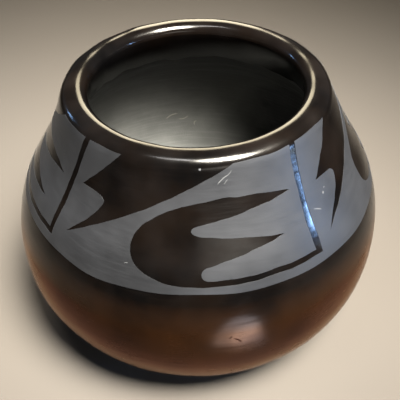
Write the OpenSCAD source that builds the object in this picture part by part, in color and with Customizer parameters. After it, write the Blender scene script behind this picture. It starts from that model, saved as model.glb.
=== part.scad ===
// Round-bodied black pot with a wide thick-lipped mouth and four painted shoulder panels.
// Fired coil-built clay: a base, wall coils and a rim coil under a burnished slip coat,
// with a thin matte slip painted over the shoulder around a figure left in polish.
// Millimetres, +Z up, origin on the turning axis at the resting face. Panel 1 faces -Y.

/* [Body] */
// overall height, resting face to lip
height = 90; // [76:1:110]
// overall radius at the belly
belly_r = 60; // [54:1:70]
// height of the widest point
belly_z = 36; // [32:1:42]
// radius of the flat resting face
foot_r = 26; // [20:1:32]

/* [Mouth] */
// radius of the mouth, measured to the crest of the lip
mouth_r = 35.2; // [32:0.2:38]
// thickness of the rounded lip
lip_t = 6.4; // [5:0.2:8]

/* [Clay] */
// thickness of the wall at the belly
wall_t = 5.6; // [4.5:0.1:7]
// thickness of the floor
floor_t = 7; // [5.5:0.5:9]

/* [Slip] */
// thickness of the burnished slip coat
slip_t = 0.4; // [0.2:0.1:0.6]
// thickness of the matte painted slip
paint_t = 0.2; // [0.1:0.1:0.3]
// height at which the burnished coat stops above the foot
slip_foot = 2.5; // [2:0.5:6]
// how far the burnished coat runs down inside the neck
neck_slip = 14; // [8:1:18]

/* [Painted band] */
// drop from the lip to the upper edge of the matte band
band_top = 2; // [1.6:0.2:4]
// height of the matte band, measured along the axis
band_h = 31; // [29:1:34]
// width of the polished stripes between panels
stripe_w = 2; // [1.4:0.1:2.6]
// width of the polished ground line
line_w = 1.4; // [1:0.1:2]

/* [Hidden] */
panels = 4;
pitch = 360 / panels;
steps = 9;
figure_steps = 6;
$fn = 96;

clay_top = height - slip_t;
lip_z = height - lip_t / 2;
body_h = lip_z - belly_z;
out_r = belly_r - slip_t;
in_r = out_r - wall_t;
lip_r = lip_t / 2 - slip_t;
round_k = 0.5523;

neck_out = mouth_r + 0.72 * lip_t;
flank_z = belly_z + 0.616 * body_h;
flank_out = neck_out + 0.49 * (out_r - neck_out);
flank_in = flank_out - 1.09 * wall_t;
fall = -57;

// Knots of the clay section, from the floor out, up the inside, over the lip and down:
// [point, heading, handle behind, handle ahead].
floor_edge = [[0.4 * in_r, floor_t], 0, 0, round_k * 0.6 * in_r];
in_belly = [[in_r, belly_z], 90, round_k * (belly_z - floor_t), 0.22 * body_h];
in_flank = [[flank_in, flank_z - 1], 180 + fall, 0.2 * body_h, 0.18 * body_h];
in_lip = [[mouth_r - lip_r, lip_z], 90, 0.1 * body_h, round_k * lip_r];
crest = [[mouth_r, clay_top], 0, round_k * lip_r, 1.05 * lip_r];
neck = [[neck_out, lip_z], -69, 0.65 * lip_r, 0.13 * body_h];
flank = [[flank_out, flank_z], fall, 0.14 * body_h, 0.22 * body_h];
belly = [[out_r, belly_z], -90, 0.27 * body_h, round_k * belly_z];
foot = [[foot_r, 0], 180, round_k * (out_r - foot_r), 0];
knots = [floor_edge, in_belly, in_flank, in_lip, crest, neck, flank, belly, foot];
lip_knot = 3;
foot_knot = 8;

// Joints between the clay coils, from the foot to the rim.
base_top = 15;
rim_bottom = height - lip_t;
coil_h = (rim_bottom - base_top) / 4;

paint_hi = height - band_top;
paint_lo = paint_hi - band_h;

// which node to draw

function dir(a) = [cos(a), sin(a)];
function span(a, b) = [a[0], a[0] + a[3] * dir(a[1]), b[0] - b[2] * dir(b[1]), b[0]];
function bez(s, t) = pow(1 - t, 3) * s[0] + 3 * t * pow(1 - t, 2) * s[1]
    + 3 * t * t * (1 - t) * s[2] + pow(t, 3) * s[3];
function bez_rate(s, t) = pow(1 - t, 2) * (s[1] - s[0]) + 2 * t * (1 - t) * (s[2] - s[1])
    + t * t * (s[3] - s[2]);
function outward(s, t) = let (d = bez_rate(s, t)) [-d[1], d[0]] / norm(d);

// Points along the section from one knot to another, lifted off the clay.
function contour(first, last, lift) = [
    for (k = [first : last - 1], i = [0 : steps])
        if (i < steps || k == last - 1)
            let (s = span(knots[k], knots[k + 1]))
                bez(s, i / steps) + lift * outward(s, i / steps)
];
function reversed(pts) = [for (i = [len(pts) - 1 : -1 : 0]) pts[i]];

// Radius of the burnished surface at a height, read off the outer contour.
outer_line = reversed(contour(4, foot_knot, slip_t));
outer_table = [for (p = outer_line) [p[1], p[0]]];
function outer_r(z) = lookup(z, outer_table);

// Clay between two heights.
module clay_ring(z0, z1) {
    rotate_extrude()
        intersection() {
            polygon(concat([[0, 0], [0, floor_t]], contour(0, foot_knot, 0)));
            translate([0, z0])
                square([belly_r + 1, z1 - z0]);
        }
}

// Section of a coat that follows the contour between two knots and two heights.
module coat_section(first, last, under, over, z0, z1) {
    intersection() {
        polygon(concat(contour(first, last, over), reversed(contour(first, last, under))));
        translate([0, z0])
            square([belly_r + 1, z1 - z0]);
    }
}

// Figures of one panel, as closed chains of curves in degrees round the pot and height.
// The right stripe stands at 0 degrees at its foot and the left one a pitch before it.
ground = paint_lo + 2.6;
top = paint_hi + 1;
half_w = stripe_w / 2 / (PI * outer_r(ground) / 180);

// The leaning stripe, as its centre line.
stripe = [[0, ground], [-0.2, ground + 10.4], [1.2, ground + 19.4], [4.6, top]];

// A stepped bolt that hangs from the collar and points back to the foot of the left stripe.
bolt = [
    [[-65.4, top], [-70, paint_hi - 3], [-76, paint_hi - 7.2], [-81.3, paint_hi - 11.3]],
    [[-81.3, paint_hi - 11.3], [-77, paint_hi - 11.4], [-71.6, paint_hi - 11], [-70.8, paint_hi - 13]],
    [[-70.8, paint_hi - 13], [-71.6, paint_hi - 16.6], [-79, paint_hi - 21], [-82.5, paint_hi - 24.6]],
    [[-82.5, paint_hi - 24.6], [-66, paint_hi - 15.5], [-42, paint_hi - 5.5], [-19.5, top]]
];

// A round head with two feathers and a ground line that runs to the foot of the stripe.
feathers = [
    [[-3.9, ground + 18], [-10, ground + 19.6], [-18, ground + 20.3], [-26, ground + 20.3]],
    [[-26, ground + 20.3], [-46, ground + 19.9], [-58.5, ground + 13.9], [-58.5, ground + 7.4]],
    [[-58.5, ground + 7.4], [-58.5, ground + 1.9], [-50, ground - 0.5], [-38, ground - 0.5]],
    [[-38, ground - 0.5], [-25, ground - 0.4], [-12, ground], [half_w, ground]],
    [[half_w, ground], [0, ground + 0.5], [0, ground + 1], [-half_w, ground + line_w]],
    [[-half_w, ground + line_w], [-12, ground + 1.6], [-24, ground + 1], [-35.3, ground + 1.1]],
    [[-35.3, ground + 1.1], [-37.8, ground + 1.4], [-38, ground + 3.8], [-34.3, ground + 4.5]],
    [[-34.3, ground + 4.5], [-27, ground + 5.9], [-18, ground + 7.6], [-9.5, ground + 8.5]],
    [[-9.5, ground + 8.5], [-17, ground + 9.8], [-28, ground + 10.6], [-36.5, ground + 11.4]],
    [[-36.5, ground + 11.4], [-41, ground + 11.9], [-40.5, ground + 13.4], [-35.6, ground + 14.1]],
    [[-35.6, ground + 14.1], [-25, ground + 16], [-13, ground + 17.4], [-3.9, ground + 18]]
];

function trace(chain) = [for (s = chain, i = [0 : figure_steps - 1]) bez(s, i / figure_steps)];
// Where a point of the panel falls on a flat sheet in front of it.
function flat(p) = [outer_r(p[1]) * sin(p[0] + pitch / 2), p[1]];
function stripe_at(t, shift) = bez(stripe, t) + [shift, 0];

module figure(chain) {
    polygon([for (p = trace(chain)) flat(p)]);
}

// Half of a stripe, from its centre line to one edge, at one side of the panel.
module stripe_edge(turn, side) {
    line = [for (i = [0 : figure_steps]) stripe_at(i / figure_steps, turn)];
    edge = [for (p = line) p + [side * half_w * outer_r(ground) / outer_r(p[1]), 0]];
    polygon([for (p = concat(line, reversed(edge))) flat(p)]);
}

// The field between the two stripes' centre lines, down to the lower edge of the band.
module field() {
    right = [for (i = [0 : figure_steps]) stripe_at(i / figure_steps, 0)];
    left = [for (p = right) p - [pitch, 0]];
    foot_right = [for (i = [0 : figure_steps]) [0, paint_lo - 1 + (ground - paint_lo + 1) * i / figure_steps]];
    foot_left = [for (p = foot_right) p - [pitch, 0]];
    outline = concat(foot_right, right, reversed(left), reversed(foot_left));
    polygon([for (p = outline) flat(p)]);
}

// One matte panel: the thin band of slip, cut by the figures left in polish.
module matte_panel(index) {
    color([0.2, 0.2, 0.21])
        rotate([0, 0, pitch * (index - 1)])
            intersection() {
                rotate_extrude()
                    coat_section(4, 7, slip_t, slip_t + paint_t, paint_lo, paint_hi);
                rotate([90, 0, 0])
                    linear_extrude(belly_r + 1)
                        difference() {
                            field();
                            stripe_edge(0, -1);
                            stripe_edge(-pitch, 1);
                            figure(bolt);
                            figure(feathers);
                        }
            }
}

// Pressed dish that the coils stand on, with the flat resting face.
module base() {
    color([0.16, 0.15, 0.14])
        clay_ring(0, base_top);
}

// One of the four smoothed wall coils, counted from the base.
module wall(index) {
    color([0.16 + 0.02 * index, 0.15 + 0.02 * index, 0.14 + 0.02 * index])
        clay_ring(base_top + coil_h * (index - 1), base_top + coil_h * index);
}

module wall_lower() {
    wall(1);
}

module wall_belly() {
    wall(2);
}

module wall_shoulder() {
    wall(3);
}

module wall_neck() {
    wall(4);
}

// Last coil, rolled into the thick rounded lip.
module rim_coil() {
    color([0.16, 0.15, 0.14])
        clay_ring(rim_bottom, height);
}

// Burnished coat over the outside and the lip.
module slip_body() {
    color([0.07, 0.05, 0.04])
        rotate_extrude()
            coat_section(lip_knot, foot_knot, 0, slip_t, slip_foot, height + 1);
}

// Burnished coat carried down the inside of the neck.
module slip_neck() {
    color([0.05, 0.05, 0.05])
        rotate_extrude()
            coat_section(2, lip_knot, 0, slip_t, height - neck_slip, height);
}

module matte_panel_1() {
    matte_panel(1);
}

module matte_panel_2() {
    matte_panel(2);
}

module matte_panel_3() {
    matte_panel(3);
}

module matte_panel_4() {
    matte_panel(4);
}

base();
wall_lower();
wall_belly();
wall_shoulder();
wall_neck();
rim_coil();
slip_body();
slip_neck();
matte_panel_1();
matte_panel_2();
matte_panel_3();
matte_panel_4();
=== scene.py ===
"""A small polished black clay pot with four matte painted panels on its shoulder.

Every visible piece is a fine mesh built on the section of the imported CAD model: clay rings,
burnished coats and the painted slip. Metres, in the frame of the CAD model.
"""
import math

import bmesh
import bpy
import numpy as np
from mathutils import Matrix, Vector
from mathutils.geometry import delaunay_2d_cdt


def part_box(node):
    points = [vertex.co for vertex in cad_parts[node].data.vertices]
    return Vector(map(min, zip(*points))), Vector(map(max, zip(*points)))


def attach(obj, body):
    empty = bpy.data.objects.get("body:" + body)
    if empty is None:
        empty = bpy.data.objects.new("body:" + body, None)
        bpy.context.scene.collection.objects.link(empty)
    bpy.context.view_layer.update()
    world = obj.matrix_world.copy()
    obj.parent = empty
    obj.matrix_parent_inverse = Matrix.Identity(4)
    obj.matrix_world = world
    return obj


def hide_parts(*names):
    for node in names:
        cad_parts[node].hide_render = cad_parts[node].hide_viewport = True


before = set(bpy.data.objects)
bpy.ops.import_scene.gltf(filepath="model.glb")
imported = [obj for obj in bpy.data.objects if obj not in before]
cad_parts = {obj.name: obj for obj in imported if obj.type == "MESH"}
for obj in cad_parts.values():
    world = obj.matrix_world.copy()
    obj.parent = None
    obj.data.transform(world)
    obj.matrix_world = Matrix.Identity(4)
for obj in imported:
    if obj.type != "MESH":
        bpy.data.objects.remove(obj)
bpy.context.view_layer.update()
MM = 0.001


# ---------------------------------------------------------------- sizes, read from the frame

def radii(node):
    """Smallest and largest distance of a CAD node's points from the turning axis."""
    points = np.array([v.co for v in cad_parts[node].data.vertices])
    away = np.hypot(points[:, 0], points[:, 1])
    return away.min(), away.max()


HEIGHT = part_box("slip_body")[1].z
BELLY_R = radii("slip_body")[1]
SLIP_T = 0.4 * MM
PAINT_T = 0.1 * MM
WALL_T = 5.6 * MM
LIP_T = 6.4 * MM
LIP_R = LIP_T / 2 - SLIP_T
FLOOR_T = 7 * MM
FOOT_R = 26 * MM
BELLY_Z = 0.4 * HEIGHT
MOUTH_R = radii("rim_coil")[0] + LIP_R
JOINTS = [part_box(node)[1].z for node in ("base", "wall_lower", "wall_belly", "wall_shoulder", "wall_neck")]
SLIP_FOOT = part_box("slip_body")[0].z
NECK_SLIP_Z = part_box("slip_neck")[0].z
BAND_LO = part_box("matte_panel_1")[0].z
BAND_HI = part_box("matte_panel_1")[1].z
VIEW_TURN = 7.8  # degrees from the middle of panel 1 to the camera, anticlockwise seen from above
STRIPE_W = 2 * MM
LINE_W = 1.4 * MM
# Where a panel's hand-painted figures stray from the drawn ones, by panel, in degrees round the pot.
BOLT_SHIFT = {4: 10}
BOLT_SWING = {2: -2}  # at the lower tip
STRIPE_SWING = {1: -3.2, 4: 1.5}  # at the top of the panel's right stripe
FEATHER_SHIFT = {1: -1}
# The same for heights above the ground line in millimetres: as drawn, and as painted.
FEATHER_FALL = {4: ((-9, 1.4, 8.5, 20.3), (-9, 1.4, 5.6, 17.4))}
AS_DRAWN = ((-9, 30), (-9, 30))
CAMERA_BACK, CAMERA_UP = 4.59, 2.884  # from the axis and above the lip, in mouth radii
AIM_RIGHT, AIM_DOWN = 0.0164, 1.3166  # from the axis and below the lip, in mouth radii
CAMERA_ROLL = -0.021  # radians
CAMERA_LENS = 56.7  # for a 36 mm sensor
PANELS = 4
PITCH = 360 / PANELS

AROUND = 288  # points round the pot
FINE = 0.6 * MM  # spacing of points along the section
SAMPLES = 400  # samples of each curve of the section
QUARTER = 0.5523  # handle length of a quarter circle, as a part of its radius


# ---------------------------------------------------------------- the section of the pot

def heading(angle):
    return np.array([math.cos(math.radians(angle)), math.sin(math.radians(angle))])


def bezier(curve, t):
    t = np.asarray(t, float)[:, None]
    a, b, c, d = (np.array(p, float) for p in curve)
    return (1 - t) ** 3 * a + 3 * t * (1 - t) ** 2 * b + 3 * t * t * (1 - t) * c + t ** 3 * d


def section_knots():
    """Knots of the clay section: point, heading, handle behind, handle ahead."""
    clay_top = HEIGHT - SLIP_T
    lip_z = HEIGHT - LIP_T / 2
    body_h = lip_z - BELLY_Z
    out_r = BELLY_R - SLIP_T
    in_r = out_r - WALL_T
    neck_out = MOUTH_R + 0.72 * LIP_T
    flank_z = BELLY_Z + 0.616 * body_h
    flank_out = neck_out + 0.49 * (out_r - neck_out)
    flank_in = flank_out - 1.09 * WALL_T
    return [
        ((0.4 * in_r, FLOOR_T), 0, 0, QUARTER * 0.6 * in_r),
        ((in_r, BELLY_Z), 90, QUARTER * (BELLY_Z - FLOOR_T), 0.22 * body_h),
        ((flank_in, flank_z - 1 * MM), 123, 0.2 * body_h, 0.18 * body_h),
        ((MOUTH_R - LIP_R, lip_z), 90, 0.1 * body_h, QUARTER * LIP_R),
        ((MOUTH_R, clay_top), 0, QUARTER * LIP_R, 1.05 * LIP_R),
        ((neck_out, lip_z), -69, 0.65 * LIP_R, 0.13 * body_h),
        ((flank_out, flank_z), -57, 0.14 * body_h, 0.22 * body_h),
        ((out_r, BELLY_Z), -90, 0.27 * body_h, QUARTER * BELLY_Z),
        ((FOOT_R, 0), 180, QUARTER * (out_r - FOOT_R), 0),
    ]


def trace_section():
    """The whole section as one line, from the middle of the floor to the middle of the foot."""
    knots = section_knots()
    t = np.linspace(0, 1, SAMPLES, endpoint=False)
    runs = [np.outer(t, knots[0][0]) * [1, 0] + [0, FLOOR_T]]
    for a, b in zip(knots[:-1], knots[1:]):
        start, end = np.array(a[0]), np.array(b[0])
        curve = [start, start + a[3] * heading(a[1]), end - b[2] * heading(b[1]), end]
        runs.append(bezier(curve, t))
    runs.append(np.outer(1 - t, knots[-1][0]))
    line = np.concatenate(runs + [[[0, 0]]])
    along = np.concatenate([[0], np.cumsum(np.linalg.norm(np.diff(line, axis=0), axis=1))])
    rate = np.gradient(line, along, axis=0)
    outward = np.stack([-rate[:, 1], rate[:, 0]], 1)
    outward /= np.linalg.norm(outward, axis=1)[:, None]
    return line, along, outward


LINE, ALONG, OUTWARD = trace_section()
CREST = int(np.argmax(LINE[:, 1]))
INNER = slice(SAMPLES, CREST + 1)
OUTER = slice(CREST, len(LINE) - SAMPLES)
END = ALONG[-1]


def inner_at(z):
    """Distance along the section to a height on the inside."""
    return np.interp(z, LINE[INNER, 1], ALONG[INNER])


def outer_at(z):
    """Distance along the section to a height of the burnished surface on the outside."""
    lifted = (LINE + SLIP_T * OUTWARD)[OUTER][::-1]
    return np.interp(z, lifted[:, 1], ALONG[OUTER][::-1])


def wave(turn, z, seed, count=9, longest=40 * MM, shortest=9 * MM):
    """A smooth uneven swell from -1 to 1 over the pot's surface, for hand-made unevenness."""
    draw = np.random.default_rng(seed)
    total = np.zeros(np.broadcast(turn, z).shape)
    for _ in range(count):
        length = draw.uniform(shortest, longest)
        tilt = draw.uniform(0, 2 * math.pi)
        rounds = round(2 * math.pi * BELLY_R * math.cos(tilt) / length)
        total += np.sin(rounds * turn + 2 * math.pi * math.sin(tilt) / length * z + draw.uniform(0, 6.3))
    return total / math.sqrt(count)


def place(turn, along, lift):
    """Points at an angle round the pot, a distance along the section and a lift off the clay."""
    turn, along, lift = np.broadcast_arrays(np.asarray(turn, float), along, lift)
    radius = np.interp(along, ALONG, LINE[:, 0])
    z = np.interp(along, ALONG, LINE[:, 1])
    out_r = np.interp(along, ALONG, OUTWARD[:, 0])
    out_z = np.interp(along, ALONG, OUTWARD[:, 1])
    free = np.clip(z / (6 * MM), 0, 1) * np.clip(radius / (8 * MM), 0, 1)
    lift = lift + 0.05 * MM * free * wave(turn, z, 5)
    radius = radius + lift * out_r
    z = z + lift * out_z
    # The hand-built form: slightly out of round, a bow to one side and a rim that isn't quite level.
    radius = radius * (1 + 0.0022 * np.cos(2 * turn + 1.1) + 0.0012 * np.cos(3 * turn + 0.4))
    still = 0.58 * HEIGHT
    above = 0.6 * MM * np.sin(math.pi * np.clip((z - still) / (0.96 * HEIGHT - still), 0, 1))
    bow = above - 0.6 * MM * np.sin(math.pi * np.clip((still - z) / still, 0, 1))
    z = z - 0.22 * MM * (1 + np.cos(2 * turn + 2.3)) / 2 * np.clip(z / HEIGHT, 0, 1) ** 4
    return np.stack([radius * np.cos(turn) + bow, radius * np.sin(turn), z], -1)


# ---------------------------------------------------------------- meshes

def piece(name, points, faces, node, slot, material, sharp=35):
    """Makes one piece of the pot, closed and smooth, standing for a CAD node."""
    mesh = bpy.data.meshes.new(name)
    mesh.from_pydata([tuple(p) for p in points], [], faces)
    mesh.validate()
    made = bpy.data.objects.new(name, mesh)
    bpy.context.scene.collection.objects.link(made)
    weld(mesh)
    mesh.shade_smooth()
    mesh.set_sharp_from_angle(angle=math.radians(sharp))
    mesh.materials.append(material)
    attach(made, "root")
    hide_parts(node)
    return made


def weld(mesh):
    """Joins points that fall together, such as those on the axis, and turns faces outward."""
    work = bmesh.new()
    work.from_mesh(mesh)
    bmesh.ops.remove_doubles(work, verts=work.verts, dist=1e-7)
    bmesh.ops.recalc_face_normals(work, faces=work.faces)
    work.to_mesh(mesh)
    work.free()


def ring(along, lift, closed=True):
    """Points and faces of a path along the section, turned round the pot.

    along and lift are one row per point of the path, or one row per point and a column per angle."""
    turn = np.linspace(0, 2 * math.pi, AROUND, endpoint=False)[None]
    along, lift = (np.broadcast_to(x if np.ndim(x) == 2 else np.asarray(x)[:, None], (len(x), AROUND))
                   for x in (along, lift))
    points = place(turn, along, lift).reshape(-1, 3)
    rows = len(along)
    faces = []
    for j in range(rows if closed else rows - 1):
        a, b = j * AROUND, (j + 1) % rows * AROUND
        faces += [(a + i, a + (i + 1) % AROUND, b + (i + 1) % AROUND, b + i) for i in range(AROUND)]
    return points, faces


def steps(start, end, spacing):
    return np.linspace(start, end, max(2, round(abs(end - start) / spacing) + 1))


def clay_piece(name, node, low, high, material):
    """A ring of the clay body between two heights, with its inner and outer surface."""
    inside = steps(inner_at(low) if low > 0 else 0.0, inner_at(min(high, HEIGHT)), FINE)
    outside = steps(clay_outer_at(high), clay_outer_at(low) if low > 0 else END, 2 * FINE)
    path = np.concatenate([inside, outside])
    return piece(name, *ring(path, np.zeros(len(path)), closed=low > 0), node, "fired_clay", material)


def clay_outer_at(z):
    line = LINE[OUTER][::-1]
    return np.interp(z, line[:, 1], ALONG[OUTER][::-1])


def coat(name, node, start, end, material, spacing=FINE):
    """A skin of burnished slip over the clay. start and end may vary round the pot."""
    t = steps(0, 1, spacing / (np.max(end) - np.min(start)))
    start, end = np.broadcast_to(start, AROUND), np.broadcast_to(end, AROUND)
    over = start[None] + (end - start)[None] * t[:, None]
    under = over[::-1][::2]
    along = np.concatenate([over, under])
    lift = np.concatenate([np.full(over.shape, SLIP_T), np.full(under.shape, 0.02 * MM)])
    return piece(name, *ring(along, lift), node, "burnished_slip", material)


# ---------------------------------------------------------------- painted panels

GROUND = BAND_LO + 2.6 * MM
TOP = BAND_HI + 1.5 * MM


def motif(top, ground, half_w):
    """Chains of curves of one panel, in degrees before the right stripe and millimetres of height."""
    hang = top - 1.5
    line = LINE_W / MM
    stripe = [[(0, ground), (-0.2, ground + 10.4), (1.2, ground + 19.4), (4.6, top)]]
    bolt = [
        [(-65.4, top), (-70, hang - 3), (-76, hang - 7.2), (-81.3, hang - 11.3)],
        [(-81.3, hang - 11.3), (-77, hang - 11.4), (-71.6, hang - 11), (-70.8, hang - 13)],
        [(-70.8, hang - 13), (-71.6, hang - 16.6), (-79, hang - 21), (-82.5, hang - 24.6)],
        [(-82.5, hang - 24.6), (-66, hang - 15.5), (-42, hang - 5.5), (-19.5, top)],
    ]
    feathers = [
        [(-3.9, ground + 18), (-10, ground + 19.6), (-18, ground + 20.3), (-26, ground + 20.3)],
        [(-26, ground + 20.3), (-46, ground + 19.9), (-58.5, ground + 13.9), (-58.5, ground + 7.4)],
        [(-58.5, ground + 7.4), (-58.5, ground + 1.9), (-50, ground - 0.5), (-38, ground - 0.5)],
        [(-38, ground - 0.5), (-25, ground - 0.4), (-12, ground), (half_w, ground)],
        [(half_w, ground), (0, ground + 0.5), (0, ground + 1), (-half_w, ground + line)],
        [(-half_w, ground + line), (-12, ground + 1.6), (-24, ground + 1), (-35.3, ground + 1.1)],
        [(-35.3, ground + 1.1), (-37.8, ground + 1.4), (-38, ground + 3.8), (-34.3, ground + 4.5)],
        [(-34.3, ground + 4.5), (-27, ground + 5.9), (-18, ground + 7.6), (-9.5, ground + 8.5)],
        [(-9.5, ground + 8.5), (-17, ground + 9.8), (-28, ground + 10.6), (-36.5, ground + 11.4)],
        [(-36.5, ground + 11.4), (-41, ground + 11.9), (-40.5, ground + 13.4), (-35.6, ground + 14.1)],
        [(-35.6, ground + 14.1), (-25, ground + 16), (-13, ground + 17.4), (-3.9, ground + 18)],
    ]
    return stripe, bolt, feathers


def sampled(chain, count=28):
    t = np.linspace(0, 1, count, endpoint=False)
    return np.concatenate([bezier(curve, t) for curve in chain])


def mean_radius(z):
    line = (LINE + SLIP_T * OUTWARD)[OUTER][::-1]
    return np.interp(z, line[:, 1], line[:, 0])


def brushed(outline, turn0):
    """Shifts an outline as an uneven brush does, by the same amount wherever two outlines meet."""
    turn = np.radians(outline[:, 0] + turn0)
    z = outline[:, 1] * MM
    shift_u = 0.14 * wave(turn, z, 21, longest=14 * MM, shortest=3 * MM)
    shift_z = 0.09 * wave(turn, z, 22, longest=14 * MM, shortest=3 * MM)
    return outline + np.stack([np.degrees(shift_u * MM / mean_radius(z)), shift_z], 1)


def inside(points, loop):
    """Which points lie inside a closed outline."""
    x, y = points[:, 0][:, None], points[:, 1][:, None]
    ax, ay = loop[:, 0][None], loop[:, 1][None]
    bx, by = np.roll(loop, -1, 0)[:, 0][None], np.roll(loop, -1, 0)[:, 1][None]
    spans = (ay > y) != (by > y)
    cross = ax + (y - ay) * (bx - ax) / np.where(by == ay, 1, by - ay)
    return (np.sum(spans & (x < cross), axis=1) % 2) == 1


def panel_outlines(turn0, index):
    """The field of one panel and the figures left out of it, in degrees and millimetres."""
    ground, top = GROUND / MM, TOP / MM
    half_w = math.degrees(STRIPE_W / 2 / mean_radius(GROUND))
    stripe, bolt, feathers = motif(top, ground, half_w)
    draw = np.random.default_rng(40 + index)
    drift = draw.normal(0, 1, (2, 2)) * [0.7, 0.25]
    bolt = sampled(bolt) + drift[0] * np.clip((top - sampled(bolt)[:, 1:]) / 6, 0, 1)
    bolt[:, 0] += BOLT_SHIFT.get(index, 0)
    bolt[:, 0] += BOLT_SWING.get(index, 0) * np.clip((top - bolt[:, 1]) / 16, 0, 1)
    feathers = sampled(feathers)
    feathers[:, 1] = ground + np.interp(feathers[:, 1] - ground, *FEATHER_FALL.get(index, AS_DRAWN))
    feathers = feathers + drift[1] * np.clip((feathers[:, 1:] - ground - 2) / 6, 0, 1)
    feathers[:, 0] += FEATHER_SHIFT.get(index, 0) * np.clip((feathers[:, 1] - ground - 2) / 6, 0, 1)
    line = np.concatenate([sampled(stripe, 60), [[4.6, top]]])
    across = half_w * mean_radius(GROUND) / mean_radius(line[:, 1] * MM)
    rise = np.clip((line[:, 1] - ground) / (top - ground), 0, 1)
    swings = [STRIPE_SWING.get(i, 0) for i in (index, (index - 2) % PANELS + 1)]
    own, neighbour = (np.stack([line[:, 0] + swing * rise, line[:, 1]], 1) for swing in swings)
    low = BAND_LO / MM
    foot = np.stack([np.zeros(8), np.linspace(low - 3, ground, 8, endpoint=False)], 1)
    right = np.concatenate([foot, own])
    left = np.concatenate([foot, neighbour]) - [PITCH, 0]
    field = np.concatenate([right, left[::-1]])
    edge = np.stack([across, np.zeros(len(line))], 1)
    stripes = [np.concatenate([run - edge, (run + edge)[::-1]]) - [turn, 0]
               for run, turn in ((own, 0), (neighbour, PITCH))]
    figures = [bolt, feathers, *stripes]
    return [brushed(outline, turn0) for outline in [field, *figures]]


def band_edges(turn):
    """Heights of the lower and upper edge of the matte band round the pot, in millimetres."""
    low = BAND_LO / MM + 0.3 * wave(turn, 0, 31, longest=60 * MM, shortest=12 * MM)
    high = BAND_HI / MM + 0.25 + 0.16 * wave(turn, 0, 32, longest=40 * MM, shortest=10 * MM)
    return low, high


def panel(index, material):
    """One panel of matte slip, cut out round the figures that stay polished."""
    turn0 = PITCH * (index - 1) - PITCH / 2
    outlines = panel_outlines(turn0, index)
    spread = np.linspace(-PITCH - 6, 10, 260)
    low, high = band_edges(np.radians(spread + turn0))
    band = np.concatenate([np.stack([spread, low], 1), np.stack([spread, high], 1)[::-1]])
    grid_u, grid_z = np.meshgrid(np.arange(-PITCH - 4, 8, 1.15), np.arange(BAND_LO / MM - 1, TOP / MM, 0.95))
    grid_u = grid_u + 0.55 * (np.arange(len(grid_u)) % 2)[:, None]
    grid = np.stack([grid_u.ravel(), grid_z.ravel()], 1)
    loops = [*outlines, band]
    corners = np.concatenate([*loops, grid])
    edges, first = [], 0
    for loop in loops:
        edges += [(first + i, first + (i + 1) % len(loop)) for i in range(len(loop))]
        first += len(loop)
    flat = [Vector((u * 0.9, z)) for u, z in corners]
    found, _, triangles, *_ = delaunay_2d_cdt(flat, edges, [], 0, 1e-5)
    found = np.array([tuple(v) for v in found]) / [0.9, 1]
    triangles = np.array(triangles)
    middle = found[triangles].mean(1)
    keep = inside(middle, outlines[0]) & inside(middle, band)
    for figure in outlines[1:]:
        keep &= ~inside(middle, figure)
    triangles = triangles[keep]
    used = np.unique(triangles)
    renumber = np.full(len(found), -1)
    renumber[used] = np.arange(len(used))
    triangles = renumber[triangles]
    found = found[used]
    turn = np.radians(found[:, 0] + turn0)
    along = outer_at(found[:, 1] * MM)
    over = place(turn, along, SLIP_T + PAINT_T)
    under = place(turn, along, SLIP_T - 0.05 * MM)
    count = len(found)
    faces = [tuple(t) for t in triangles] + [tuple(t[::-1] + count) for t in triangles]
    sides = {}
    for t in triangles:
        for a, b in ((t[0], t[1]), (t[1], t[2]), (t[2], t[0])):
            sides[(a, b)] = sides.get((a, b), 0) + 1
    faces += [(b, a, a + count, b + count) for a, b in sides if (b, a) not in sides]
    return piece(f"painted_panel_{index}", np.concatenate([over, under]), faces,
                 f"matte_panel_{index}", "matte_slip", material)


# ---------------------------------------------------------------- materials

def add(tree, kind, inputs=None, **settings):
    """Adds a node, sets its settings, and sets or links its inputs."""
    made = tree.nodes.new(kind)
    for name, value in settings.items():
        setattr(made, name, value)
    for name, value in (inputs or {}).items():
        if isinstance(value, bpy.types.NodeSocket):
            tree.links.new(value, made.inputs[name])
        else:
            made.inputs[name].default_value = value
    return made


def math_node(tree, operation, a, b=0.0):
    return add(tree, "ShaderNodeMath", {0: a, 1: b}, operation=operation).outputs[0]


def noise(tree, vector, scale, detail=3.0, roughness=0.5):
    made = add(tree, "ShaderNodeTexNoise",
               {"Vector": vector, "Scale": scale, "Detail": detail, "Roughness": roughness})
    return made.outputs["Fac"]


def ramp(tree, value, low, high, to_low=0.0, to_high=1.0):
    """Maps a value from one range to another, clamped."""
    inputs = {"Value": value, "From Min": low, "From Max": high, "To Min": to_low, "To Max": to_high}
    return add(tree, "ShaderNodeMapRange", inputs).outputs[0]


def blend_color(tree, factor, a, b):
    made = add(tree, "ShaderNodeMix", {"Factor": factor}, data_type="RGBA")
    for socket, value in ((made.inputs[6], a), (made.inputs[7], b)):
        if isinstance(value, bpy.types.NodeSocket):
            tree.links.new(value, socket)
        else:
            socket.default_value = value
    return made.outputs[2]


def start_material(name):
    made = bpy.data.materials.new(name)
    made.use_nodes = True
    tree = made.node_tree
    tree.nodes.clear()
    shader = add(tree, "ShaderNodeBsdfPrincipled")
    add(tree, "ShaderNodeOutputMaterial", {"Surface": shader.outputs[0]})
    position = add(tree, "ShaderNodeTexCoord").outputs["Object"]
    return made, tree, shader, position


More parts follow.
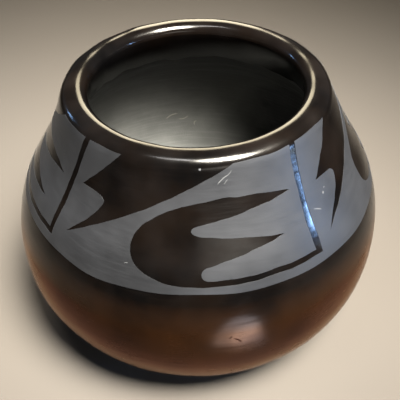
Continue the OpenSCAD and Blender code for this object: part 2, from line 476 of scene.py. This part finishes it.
def stroke_space(tree, position, across):
    """Coordinates that run slowly round the pot and quickly up it, for strokes round the pot."""
    parts = add(tree, "ShaderNodeSeparateXYZ", {0: position})
    flat = add(tree, "ShaderNodeCombineXYZ", {0: parts.outputs[0], 1: parts.outputs[1]})
    unit = add(tree, "ShaderNodeVectorMath", {0: flat.outputs[0]}, operation="NORMALIZE")
    length = add(tree, "ShaderNodeVectorMath", {0: flat.outputs[0]}, operation="LENGTH").outputs["Value"]
    up = math_node(tree, "ADD", parts.outputs[2], math_node(tree, "MULTIPLY", length, 0.7))
    turned = add(tree, "ShaderNodeSeparateXYZ", {0: unit.outputs[0]})
    quick = math_node(tree, "MULTIPLY", up, across)
    return add(tree, "ShaderNodeCombineXYZ", {0: turned.outputs[0], 1: turned.outputs[1], 2: quick}).outputs[0]


def bumped(tree, height, distance, strength=1.0, normal=None):
    inputs = {"Height": height, "Distance": distance, "Strength": strength}
    if normal is not None:
        inputs["Normal"] = normal
    return add(tree, "ShaderNodeBump", inputs).outputs[0]


def mark(tree, position, azimuth, z, length, width, tilt=0.0, bend=0.0):
    """A short line on the surface at an azimuth and height: 1 on the line, 0 off it."""
    turned = add(tree, "ShaderNodeVectorRotate",
                 {"Vector": position, "Angle": -math.radians(azimuth + VIEW_TURN)}, rotation_type="Z_AXIS")
    centred = add(tree, "ShaderNodeVectorMath", {0: turned.outputs[0], 1: (0, 0, z)}, operation="SUBTRACT")
    leaned = add(tree, "ShaderNodeVectorRotate",
                 {"Vector": centred.outputs[0], "Angle": -math.radians(tilt)}, rotation_type="X_AXIS")
    parts = add(tree, "ShaderNodeSeparateXYZ", {0: leaned.outputs[0]}).outputs
    along = math_node(tree, "ABSOLUTE", parts[1])
    curve = math_node(tree, "MULTIPLY", math_node(tree, "POWER", along, 2.0), 4 * bend / length ** 2)
    off = math_node(tree, "ABSOLUTE", math_node(tree, "ADD", parts[2], curve))
    line = math_node(tree, "MULTIPLY", ramp(tree, off, width / 2, width / 5),
                     ramp(tree, along, length / 2, length / 3))
    return math_node(tree, "MULTIPLY", line, math_node(tree, "GREATER_THAN", parts[0], 0.0))


def marked(tree, position, color, mark_color, marks, strength=1.0):
    """Lays short marks over a colour and returns it with their joint mask."""
    total = None
    for settings in marks:
        one = mark(tree, position, *settings)
        total = one if total is None else math_node(tree, "MAXIMUM", total, one)
    return blend_color(tree, math_node(tree, "MULTIPLY", total, strength), color, mark_color), total


# Small marks of use: azimuth from the camera's right, height, length, width, lean and bow.
PAINT_SCRATCHES = (
    (-81.4, 84.6 * MM, 3.6 * MM, 0.32 * MM, 36, 0.2 * MM),
    (-79.4, 85.4 * MM, 3.4 * MM, 0.22 * MM, 32, -0.4 * MM),
    (-80.2, 83.9 * MM, 1.6 * MM, 0.18 * MM, 48, 0.1 * MM),
    (-48.4, 69.8 * MM, 3.0 * MM, 0.24 * MM, -25, 0.1 * MM),
    (-43.8, 72.4 * MM, 0.7 * MM, 0.6 * MM, 60, 0),
    (-42.6, 73.4 * MM, 0.5 * MM, 0.3 * MM, 20, 0),
    (-112.0, 63.0 * MM, 1.2 * MM, 0.2 * MM, 15, 0),
)
POLISH_SPECKS = (
    (-89.2, 87.3 * MM, 0.6 * MM, 0.6 * MM, 0, 0),
    (-82.9, 61.7 * MM, 1.8 * MM, 0.9 * MM, 40, 0),
    (-76.5, 63.2 * MM, 1.0 * MM, 0.25 * MM, 35, 0),
)
POLISH_NICKS = (
    (-80.2, 41.3 * MM, 3.4 * MM, 0.6 * MM, -42, 0.3 * MM),
    (-82.2, 42.6 * MM, 1.4 * MM, 0.5 * MM, 50, 0),
)
FLOOR_SCRAPES = (
    (101.0, 39.5 * MM, 5.5 * MM, 0.5 * MM, -24, 0.7 * MM),
    (95.5, 37.2 * MM, 4.5 * MM, 0.4 * MM, -18, -0.8 * MM),
    (91.0, 35.0 * MM, 2.4 * MM, 0.5 * MM, -70, 0.6 * MM),
)


def burnished_material(name, warm, index, gloss):
    """Stone-burnished black slip: near-black with warm clouds and fine polishing strokes.

    The colours are set for this scene's lamps and are darker than real slip; the lower body's brown is a
    painted reflection of a wooden table top."""
    made, tree, shader, position = start_material(name)
    clouds = noise(tree, position, 55, 4, 0.55)
    fine = noise(tree, position, 420, 3, 0.6)
    smudge = noise(tree, position, 90, 3, 0.6)
    haze = noise(tree, position, 105, 2, 0.4)
    strokes = noise(tree, stroke_space(tree, position, 700), 3.2, 3, 0.6)
    broad = noise(tree, stroke_space(tree, position, 190), 2.1, 2, 0.5)
    height = add(tree, "ShaderNodeSeparateXYZ", {0: position}).outputs[2]
    low = ramp(tree, height, 54 * MM, 44 * MM)  # 1 on the lower body, 0 above it
    black = (0.001, 0.0009, 0.0009, 1)
    brown = (0.003 * warm, 0.0019 * warm, 0.0013 * warm, 1)
    color = blend_color(tree, ramp(tree, clouds, 0.36, 0.68), black, brown)
    # Brown on the lower body: painted reflection of a wooden table top, not the slip's own colour.
    color = blend_color(tree, math_node(tree, "MULTIPLY", low, ramp(tree, clouds, 0.2, 0.7)), color,
                        (0.021, 0.0078, 0.0026, 1))
    color = blend_color(tree, ramp(tree, strokes, 0.6, 0.78, 0, 0.3), color, (0.004, 0.003, 0.002, 1))
    hazy = math_node(tree, "MULTIPLY", ramp(tree, haze, 0.42, 0.7, 0, 0.2 * warm), ramp(tree, low, 1, 0))
    color = blend_color(tree, hazy, color, (0.0088, 0.0074, 0.0069, 1))
    color, _ = marked(tree, position, color, (0.11, 0.11, 0.11, 1), POLISH_SPECKS, 0.7)
    color, nicks = marked(tree, position, color, (0.0, 0.0, 0.0, 1), POLISH_NICKS)
    tree.links.new(color, shader.inputs["Base Color"])
    shine = math_node(tree, "SUBTRACT", 0.5, math_node(tree, "MULTIPLY", nicks, 0.5))
    tree.links.new(shine, shader.inputs["Specular IOR Level"])
    rough = math_node(tree, "ADD", ramp(tree, strokes, 0.3, 0.75, gloss, gloss + 0.06),
                      ramp(tree, smudge, 0.35, 0.7, -0.03, 0.07))
    rough = math_node(tree, "ADD", rough, ramp(tree, low, 0, 1, 0, 0.07))
    tree.links.new(rough, shader.inputs["Roughness"])
    relief = bumped(tree, broad, 0.07 * MM)
    relief = bumped(tree, strokes, 0.015 * MM, normal=relief)
    relief = bumped(tree, fine, 0.005 * MM, normal=relief)
    tree.links.new(relief, shader.inputs["Normal"])
    # Orange tint of the lower body's reflections: part of the same painted table-top reflection.
    tree.links.new(blend_color(tree, low, (1.0, 0.95, 0.86, 1), (1.0, 0.56, 0.3, 1)),
                   shader.inputs["Specular Tint"])
    tree.links.new(ramp(tree, low, 0, 1, index, min(index, 1.24)), shader.inputs["IOR"])
    # Half-metallic brown sheen: it stands in for the glow of a wooden table top, and isn't the clay's own.
    tree.links.new(ramp(tree, low, 0, 1, 0, 0.5), shader.inputs["Metallic"])
    return made


def matte_material():
    """Thin painted slip, grey and dry, brushed on and faintly scratched."""
    made, tree, shader, position = start_material("matte_slip")
    clouds = noise(tree, position, 55, 4, 0.6)
    grain = noise(tree, position, 2600, 2, 0.6)
    brush = noise(tree, stroke_space(tree, position, 520), 5, 3, 0.6)
    dark = (0.005, 0.0051, 0.0055, 1)
    pale = (0.0125, 0.0127, 0.0136, 1)
    color = blend_color(tree, ramp(tree, clouds, 0.3, 0.72), dark, pale)
    color = blend_color(tree, ramp(tree, brush, 0.45, 0.8, 0, 0.25), color, (0.018, 0.0184, 0.0195, 1))
    color, _ = marked(tree, position, color, (0.09, 0.09, 0.085, 1), PAINT_SCRATCHES, 0.8)
    tree.links.new(color, shader.inputs["Base Color"])
    rough = math_node(tree, "ADD", ramp(tree, brush, 0.3, 0.7, 0.47, 0.52),
                      ramp(tree, clouds, 0.3, 0.7, -0.03, 0.04))
    tree.links.new(rough, shader.inputs["Roughness"])
    shader.inputs["IOR"].default_value = 1.6
    relief = bumped(tree, brush, 0.02 * MM)
    relief = bumped(tree, grain, 0.02 * MM, normal=relief)
    tree.links.new(relief, shader.inputs["Normal"])
    return made


def clay_material():
    """Smoke-blackened clay inside the pot, left matte.

    It is darker up the wall, and the darkening towards one side is painted shade, not the clay's own."""
    made, tree, shader, position = start_material("fired_clay")
    clouds = noise(tree, position, 45, 4, 0.6)
    wipe = noise(tree, stroke_space(tree, position, 420), 2.4, 4, 0.65)
    grain = noise(tree, position, 1500, 3, 0.7)
    color = blend_color(tree, ramp(tree, clouds, 0.3, 0.7), (0.062, 0.061, 0.055, 1), (0.1, 0.099, 0.088, 1))
    color = blend_color(tree, ramp(tree, wipe, 0.48, 0.8, 0, 0.5), color, (0.135, 0.135, 0.122, 1))
    parts = add(tree, "ShaderNodeSeparateXYZ", {0: position}).outputs
    # Darker up the wall, and painted shade towards one side.
    sideways = math_node(tree, "ADD", parts[0], ramp(tree, clouds, 0.3, 0.7, -6 * MM, 6 * MM))
    upper_dark_and_side_shade = math_node(tree, "MAXIMUM", ramp(tree, parts[2], 36 * MM, 72 * MM, 0, 0.84),
                      ramp(tree, sideways, 2 * MM, 24 * MM, 0, 0.95))
    color = blend_color(tree, upper_dark_and_side_shade, color, (0.004, 0.004, 0.0045, 1))
    color, _ = marked(tree, position, color, (0.2, 0.19, 0.15, 1), FLOOR_SCRAPES, 0.7)
    tree.links.new(color, shader.inputs["Base Color"])
    tree.links.new(ramp(tree, wipe, 0.3, 0.7, 0.5, 0.7), shader.inputs["Roughness"])
    shader.inputs["Specular IOR Level"].default_value = 0.12
    relief = bumped(tree, wipe, 0.12 * MM)
    relief = bumped(tree, grain, 0.05 * MM, normal=relief)
    tree.links.new(relief, shader.inputs["Normal"])
    return made


def floor_material():
    """Plain pale floor, faintly uneven in tone."""
    made, tree, shader, position = start_material("pale_floor")
    tone = ramp(tree, noise(tree, position, 4, 3, 0.5), 0.3, 0.7)
    color = blend_color(tree, tone, (0.088, 0.075, 0.06, 1), (0.097, 0.084, 0.069, 1))
    tree.links.new(color, shader.inputs["Base Color"])
    shader.inputs["Roughness"].default_value = 0.9
    shader.inputs["Specular IOR Level"].default_value = 0.2
    return made


# ---------------------------------------------------------------- stage, lights and camera

def around(azimuth, distance, z):
    """A point at an azimuth from the camera's right, a distance from the axis and a height."""
    angle = math.radians(azimuth + VIEW_TURN)
    return Vector((distance * math.cos(angle), distance * math.sin(angle), z))


def aim(made, target, roll=0.0):
    facing = (Vector(target) - made.location).to_track_quat("-Z", "Y").to_matrix().to_4x4()
    made.matrix_world = Matrix.Translation(made.location) @ facing @ Matrix.Rotation(roll, 4, "Z")


def toward(azimuth, elevation):
    """Unit direction at an azimuth from the camera's right and an elevation."""
    level = math.cos(math.radians(elevation))
    return around(azimuth, level, math.sin(math.radians(elevation)))


def light(name, start, end, distance, width, power, color, spread=180, target=(0, 0, 0.07)):
    """A strip light that runs from one direction to another, as seen from the pot."""
    ends = [Vector(target) + distance * toward(*way) for way in (start, end)]
    middle, along = (ends[0] + ends[1]) / 2, ends[1] - ends[0]
    lamp = bpy.data.lights.new(name, "AREA")
    lamp.shape = "ELLIPSE"
    lamp.size, lamp.size_y = along.length, width
    lamp.energy = power
    lamp.color = color
    lamp.spread = math.radians(spread)
    made = bpy.data.objects.new(name, lamp)
    bpy.context.scene.collection.objects.link(made)
    back = (middle - Vector(target)).normalized()
    side = back.cross(along.normalized()).normalized()
    axes = Matrix((side.cross(back), side, back)).transposed().to_4x4()
    made.matrix_world = Matrix.Translation(middle) @ axes
    made.visible_camera = False
    return made


def build_stage():
    """A plain pale floor under dim even surroundings."""
    half = 8  # metres
    mesh = bpy.data.meshes.new("floor")
    corners = [(-half, -half, 0), (half, -half, 0), (half, half, 0), (-half, half, 0)]
    mesh.from_pydata(corners, [], [(0, 1, 2, 3)])
    mesh.materials.append(floor_material())
    floor = bpy.data.objects.new("floor", mesh)
    floor.location.z = -0.05 * MM
    bpy.context.scene.collection.objects.link(floor)
    world = bpy.data.worlds.new("studio")
    world.use_nodes = True
    world.node_tree.nodes["Background"].inputs[0].default_value = (0.62, 0.58, 0.55, 1)
    world.node_tree.nodes["Background"].inputs[1].default_value = 0.12
    bpy.context.scene.world = world


def build_lights():
    """A lamp over the front right, a strip behind, and small coloured ones placed for their reflections."""
    light("key", (-88, 72), (-34, 51), 0.55, 0.24, 2.5, (1.0, 0.98, 0.94), spread=42)
    light("key_tail", (-150, 72), (-96, 74), 0.55, 0.08, 0.09, (0.9, 0.92, 1.0), spread=60)
    light("back_strip", (90, 7), (90, 37), 0.8, 0.26, 0.95, (1.0, 0.88, 0.64), spread=110)
    light("front_window", (-92, 14), (-50, 14), 0.7, 0.08, 0.07, (1.0, 1.0, 1.0), spread=90)
    light("side_window", (-20, 3), (-22, 9.5), 0.6, 0.03, 0.1, (0.27, 0.5, 1.0), spread=60)
    light("side_window_top", (-17, -5), (-16, -4), 0.6, 0.03, 0.012, (0.6, 0.8, 1.0), spread=60)
    light("far_window", (151, 16), (151, 21), 0.7, 0.04, 0.04, (0.3, 0.55, 1.0), spread=60)
    belly = around(-80, 0.059, 0.042)
    light("front_glow", (-92, -42), (-42, -42), 0.055, 0.046, 0.029, (0.66, 0.78, 1.0), 150, belly)
    light("front_glow_core", (-76, -47), (-50, -32), 0.055, 0.014, 0.01, (0.72, 0.76, 0.9), 150, belly)


def build_camera():
    """The camera looks down on the front of the pot from about twice its height."""
    view = bpy.data.cameras.new("camera")
    view.sensor_width = 36
    view.lens = CAMERA_LENS
    view.clip_start = 0.01
    camera = bpy.data.objects.new("camera", view)
    bpy.context.scene.collection.objects.link(camera)
    lip_z = HEIGHT - LIP_T / 2
    camera.location = around(-90, CAMERA_BACK * MOUTH_R, lip_z + CAMERA_UP * MOUTH_R)
    target = around(0, AIM_RIGHT * MOUTH_R, lip_z - AIM_DOWN * MOUTH_R)
    aim(camera, target, roll=CAMERA_ROLL)
    bpy.context.scene.camera = camera


# ---------------------------------------------------------------- the pot

def build_pot():
    """All twelve pieces: clay from the foot up, then the polish, then the paint."""
    clay = clay_material()
    polished = burnished_material("burnished_slip", 1.0, 1.38, 0.13)
    neck_polish = burnished_material("burnished_neck", 0.4, 1.12, 0.07)
    matte = matte_material()
    names = ["base", "wall_lower", "wall_belly", "wall_shoulder", "wall_neck"]
    lows = [0, *JOINTS[:-1]]
    for name, low, high in zip(names, lows, JOINTS):
        clay_piece(f"clay_{name}", name, low, high, clay)
    rim_low = JOINTS[-1]
    path = steps(inner_at(rim_low), clay_outer_at(rim_low), FINE)
    piece("clay_rim_coil", *ring(path, np.zeros(len(path))), "rim_coil", "fired_clay", clay)
    lip_in = ALONG[4 * SAMPLES]
    coat("polished_body", "slip_body", lip_in, outer_at(SLIP_FOOT), polished, 0.55 * MM)
    turn = np.linspace(0, 2 * math.pi, AROUND, endpoint=False)
    ragged = inner_at(NECK_SLIP_Z) + 1.3 * MM * wave(turn, 0, 11, longest=60 * MM, shortest=8 * MM)
    coat("polished_neck", "slip_neck", ragged, lip_in, neck_polish, 0.4 * MM)
    for index in range(1, PANELS + 1):
        panel(index, matte)


build_camera()
build_stage()
build_lights()
build_pot()
bpy.context.scene.view_settings.view_transform = "Standard"
